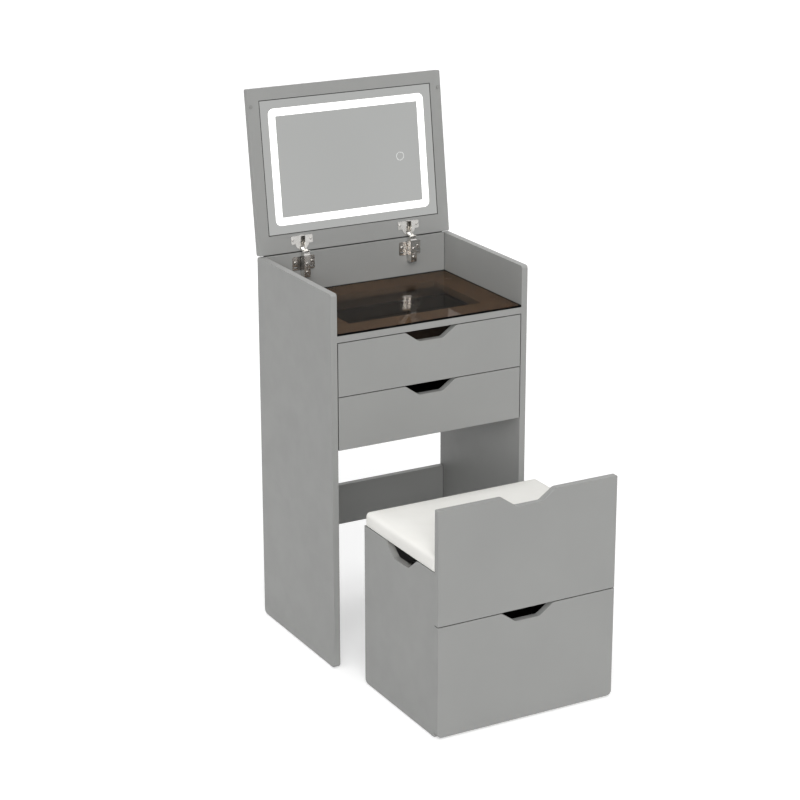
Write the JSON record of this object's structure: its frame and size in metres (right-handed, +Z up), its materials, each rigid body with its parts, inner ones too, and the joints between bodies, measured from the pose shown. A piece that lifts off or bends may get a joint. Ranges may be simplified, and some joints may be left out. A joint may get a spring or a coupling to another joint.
{
  "type": "vanity table",
  "caption": "Narrow dressing table with a flip-up lid that carries a lit mirror, a glass tray, drawers below it, and a padded storage stool that parks in its knee space.",
  "frame": {"origin": "on the floor, in the middle of the width, at the plane of the drawer fronts", "axes": "+X to the right as seen from the front, +Y to the back, +Z up"},
  "size_m": [0.5, 0.838, 1.2637],
  "materials": {
    "paint": "matte grey paint on fibreboard",
    "smoked_glass": "smoked brown, polished",
    "nickel": "nickel plated, bright",
    "zinc": "zinc plated, satin",
    "black_plastic": "black, matte",
    "mirror": "silvered glass",
    "frosted_light": "frosted, lit from behind",
    "led_tape": "white tape with light points",
    "clear_rubber": "clear soft bumper",
    "drawer_board": "dark-faced board",
    "raw_board": "plain board",
    "cover": "white leatherette, soft grain"
  },
  "bodies": {
    "cabinet": {"left_side_panel": "paint", "right_side_panel": "paint", "back_panel": "paint", "rear_stretcher": "paint", "deck_frame": "paint", "glass_top": "smoked_glass", "deck_cams": "nickel", "cabinet_glides": "black_plastic", "upper_cabinet_rails": "zinc", "lower_cabinet_rails": "zinc", "left_mount_plate": "nickel", "right_mount_plate": "nickel", "left_hinge_arm": "nickel", "right_hinge_arm": "nickel", "arm_pins": "nickel", "hinge_plate_screws": "nickel", "hinge_arm_screws": "nickel"},
    "lid": {"lid_panel": "paint", "mirror_glass": "mirror", "light_band": "frosted_light", "touch_ring": "frosted_light", "led_strip": "led_tape", "touch_sensor": "black_plastic", "light_driver": "black_plastic", "lid_bumpers": "clear_rubber", "power_inlet": "black_plastic", "left_hinge_cup": "nickel", "right_hinge_cup": "nickel", "cup_pins": "nickel", "cup_screws": "nickel"},
    "left_inner": {"left_inner_link": "nickel"},
    "right_inner": {"right_inner_link": "nickel"},
    "left_outer": {"left_outer_link": "nickel"},
    "right_outer": {"right_outer_link": "nickel"},
    "upper_drawer": {"upper_drawer_front": "paint", "upper_drawer_sides": "drawer_board", "upper_drawer_back": "drawer_board", "upper_drawer_bottom": "drawer_board", "upper_drawer_rails": "zinc"},
    "lower_drawer": {"lower_drawer_front": "paint", "lower_drawer_sides": "drawer_board", "lower_drawer_back": "drawer_board", "lower_drawer_bottom": "drawer_board", "lower_drawer_rails": "zinc"},
    "stool": {"stool_left_side": "paint", "stool_right_side": "paint", "stool_back": "paint", "stool_upper_front": "paint", "stool_shelf": "paint", "stool_base": "paint", "stool_glides": "black_plastic", "stool_rails": "zinc"},
    "stool_drawer": {"stool_drawer_front": "paint", "stool_drawer_sides": "drawer_board", "stool_drawer_back": "drawer_board", "stool_drawer_bottom": "drawer_board", "stool_drawer_rails": "zinc"},
    "seat": {"seat_board": "raw_board", "seat_cushion": "cover", "seat_battens": "raw_board"}
  },
  "joints": [
    {"name": "lid_hinge", "type": "hinge", "parent": "cabinet", "child": "lid", "pos_m": [0, 0.3584, 0.892], "axis": [1, 0, 0], "range_deg": [0, 97.6]},
    {"name": "left_inner_turn", "type": "hinge", "parent": "lid", "child": "left_inner", "pos_m": [-0.14, 0.3617, 0.89257], "axis": [1, 0, 0], "range_deg": [-86.83, 0]},
    {"name": "right_inner_turn", "type": "hinge", "parent": "lid", "child": "right_inner", "pos_m": [0.14, 0.3617, 0.89257], "axis": [1, 0, 0], "range_deg": [-86.83, 0]},
    {"name": "left_outer_turn", "type": "hinge", "parent": "lid", "child": "left_outer", "pos_m": [-0.14, 0.35532, 0.89463], "axis": [1, 0, 0], "range_deg": [-115.53, 0]},
    {"name": "right_outer_turn", "type": "hinge", "parent": "lid", "child": "right_outer", "pos_m": [0.14, 0.35532, 0.89463], "axis": [1, 0, 0], "range_deg": [-115.53, 0]},
    {"name": "upper_drawer_slide", "type": "slide", "parent": "cabinet", "child": "upper_drawer", "axis": [0, -1, 0], "range_m": [0, 0.22]},
    {"name": "lower_drawer_slide", "type": "slide", "parent": "cabinet", "child": "lower_drawer", "axis": [0, -1, 0], "range_m": [0, 0.22]},
    {"name": "stool_slide", "type": "slide", "parent": "cabinet", "child": "stool", "axis": [0, 1, 0], "range_m": [0, 0.42]},
    {"name": "stool_drawer_slide", "type": "slide", "parent": "stool", "child": "stool_drawer", "axis": [0, -1, 0], "range_m": [0, 0.19]},
    {"name": "seat_lift", "type": "slide", "parent": "stool", "child": "seat", "axis": [0, 0, 1], "range_m": [0, 0.1]}
  ],
  "couplings": [
    {"joint": "left_inner_turn", "follows": "lid_hinge", "ratio": -0.88944},
    {"joint": "right_inner_turn", "follows": "lid_hinge", "ratio": -0.88944},
    {"joint": "left_outer_turn", "follows": "lid_hinge", "ratio": -1.1835},
    {"joint": "right_outer_turn", "follows": "lid_hinge", "ratio": -1.1835}
  ]
}
